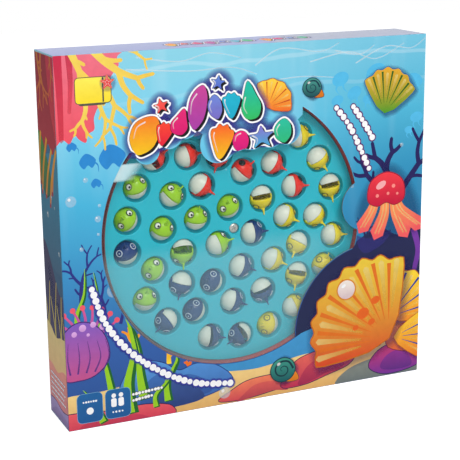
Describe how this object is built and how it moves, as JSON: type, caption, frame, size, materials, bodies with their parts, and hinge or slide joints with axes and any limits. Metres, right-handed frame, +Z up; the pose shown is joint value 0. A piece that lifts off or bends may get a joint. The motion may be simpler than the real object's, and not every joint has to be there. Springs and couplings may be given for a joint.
{
  "type": "boxed magnetic fishing game",
  "caption": "Upright printed carton with a large round film window over a motorised turntable of toy fish in a square base, with poles beside it.",
  "frame": {"origin": "middle of the carton's bottom face", "axes": "+X along the width to the right as the front is looked at, +Y from front to back, +Z up"},
  "size_m": [0.37, 0.058, 0.342],
  "materials": {
    "print": "glossy printed card",
    "film": "clear film",
    "base_red": "moulded, satin",
    "disc_teal": "moulded, satin",
    "screw_steel": "plated",
    "motor_white": "moulded",
    "switch_black": "moulded",
    "fish_green": "moulded",
    "fish_blue": "moulded",
    "fish_red": "moulded",
    "fish_yellow": "moulded",
    "pole_red": "moulded",
    "pole_yellow": "moulded",
    "pole_green": "moulded",
    "pole_blue": "moulded"
  },
  "bodies": {
    "box": {"carton": "print", "window_film": "film", "base_tray": "base_red", "base_cover": "base_red", "battery_door": "base_red", "gear_motor": "motor_white", "fishing_pole_1": "pole_red", "fishing_pole_2": "pole_yellow", "fishing_pole_3": "pole_green", "fishing_pole_4": "pole_blue"},
    "flap": {"end_flap": "print"},
    "switch": {"power_switch": "switch_black"},
    "disc": {"turntable": "disc_teal", "centre_screw": "screw_steel", "output_shaft": "motor_white", "fish_01": "fish_green", "fish_02": "fish_green", "fish_03": "fish_blue", "fish_04": "fish_yellow", "fish_05": "fish_green", "fish_06": "fish_blue", "fish_07": "fish_yellow", "fish_08": "fish_red", "fish_09": "fish_red", "fish_10": "fish_green", "fish_11": "fish_blue", "fish_12": "fish_yellow", "fish_13": "fish_red", "fish_14": "fish_red", "fish_15": "fish_red", "fish_16": "fish_green", "fish_17": "fish_green", "fish_18": "fish_blue", "fish_19": "fish_blue", "fish_20": "fish_blue", "fish_21": "fish_yellow", "fish_22": "fish_yellow", "fish_23": "fish_red", "fish_24": "fish_red", "fish_25": "fish_green", "fish_26": "fish_blue", "fish_27": "fish_yellow", "fish_28": "fish_yellow", "fish_29": "fish_yellow", "fish_30": "fish_yellow", "fish_31": "fish_red", "fish_32": "fish_red", "fish_33": "fish_green", "fish_34": "fish_red", "fish_35": "fish_green", "fish_36": "fish_green", "fish_37": "fish_blue", "fish_38": "fish_green", "fish_39": "fish_blue", "fish_40": "fish_blue", "fish_41": "fish_blue", "fish_42": "fish_yellow", "fish_43": "fish_yellow", "fish_44": "fish_yellow", "fish_45": "fish_yellow"}
  },
  "joints": [
    {"name": "flap_hinge", "type": "hinge", "parent": "box", "child": "flap", "pos_m": [-0.185, -0.029, 0.171], "axis": [0, 0, 1], "range_deg": [0, 110]},
    {"name": "turntable_spin", "type": "hinge", "parent": "box", "child": "disc", "pos_m": [-0.0136, -0.018, 0.1695], "axis": [0, -1, 0], "continuous": true},
    {"name": "switch_slide", "type": "slide", "parent": "box", "child": "switch", "axis": [0, 0, 1], "range_m": [0, 0.004]}
  ]
}
